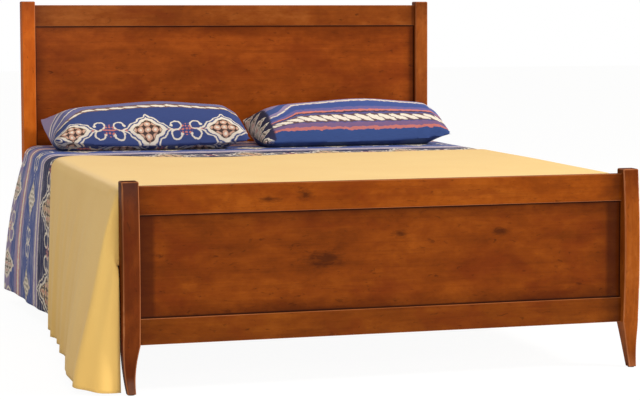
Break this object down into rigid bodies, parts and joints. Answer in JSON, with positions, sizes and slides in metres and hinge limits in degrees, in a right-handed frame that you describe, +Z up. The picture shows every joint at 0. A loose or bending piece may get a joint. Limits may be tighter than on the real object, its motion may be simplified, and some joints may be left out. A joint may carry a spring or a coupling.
{
  "type": "panel bed",
  "caption": "Wooden panel bed with sabre-footed posts, framed flat panels at head and foot, slatted base, foundation, mattress, bed cover, blanket and pillows.",
  "frame": {"origin": "on the floor under the middle of the bed, at the sole of the centre leg's levelling foot", "axes": "+X to the right as seen from the foot of the bed, +Y from the foot to the head, +Z up"},
  "size_m": [1.8192, 2.169, 1.151],
  "materials": {
    "stained_wood": "red-brown stain under satin lacquer",
    "plain_wood": "planed, bare",
    "steel": "zinc plated",
    "nylon": "moulded, matte",
    "ticking": "woven cotton ticking",
    "patterned_cloth": "printed cotton sateen",
    "yellow_cloth": "soft brushed cotton blanket",
    "tape": "woven polyester tape"
  },
  "bodies": {
    "frame": {"footboard_post_left": "stained_wood", "footboard_post_right": "stained_wood", "headboard_post_left": "stained_wood", "headboard_post_right": "stained_wood", "footboard_bottom_rail": "stained_wood", "footboard_top_rail": "stained_wood", "footboard_panel": "stained_wood", "headboard_bottom_rail": "stained_wood", "headboard_top_rail": "stained_wood", "headboard_panel": "stained_wood", "side_rail_left": "stained_wood", "side_rail_right": "stained_wood", "ledger_left": "plain_wood", "ledger_right": "plain_wood", "slat_01": "plain_wood", "slat_02": "plain_wood", "slat_03": "plain_wood", "slat_04": "plain_wood", "slat_05": "plain_wood", "slat_06": "plain_wood", "slat_07": "plain_wood", "slat_08": "plain_wood", "slat_09": "plain_wood", "slat_10": "plain_wood", "slat_11": "plain_wood", "slat_12": "plain_wood", "slat_tape_left": "tape", "slat_tape_right": "tape", "slat_screws": "steel", "post_slotted_plates": "steel", "rail_hook_plates": "steel", "plate_screws": "steel", "centre_beam": "plain_wood", "beam_hangers": "steel", "hanger_screws": "steel", "centre_leg": "plain_wood", "leg_screws": "steel", "post_glides": "nylon"},
    "leveller": {"leg_leveller": "steel"},
    "foundation": {"foundation": "ticking"},
    "mattress": {"mattress": "ticking", "bed_cover": "patterned_cloth", "blanket": "yellow_cloth"},
    "pillow_left": {"pillow_left": "patterned_cloth"},
    "pillow_right": {"pillow_right": "patterned_cloth"}
  },
  "joints": [
    {"name": "leveller_travel", "type": "slide", "parent": "frame", "child": "leveller", "axis": [0, 0, 1], "range_m": [0, 0.012]},
    {"name": "foundation_lift", "type": "slide", "parent": "frame", "child": "foundation", "axis": [0, 0, 1], "range_m": [0, 0.25]},
    {"name": "mattress_lift", "type": "slide", "parent": "foundation", "child": "mattress", "axis": [0, 0, 1], "range_m": [0, 0.3]},
    {"name": "pillow_left_lift", "type": "slide", "parent": "mattress", "child": "pillow_left", "axis": [0, 0, 1], "range_m": [0, 0.25]},
    {"name": "pillow_right_lift", "type": "slide", "parent": "mattress", "child": "pillow_right", "axis": [0, 0, 1], "range_m": [0, 0.25]}
  ]
}
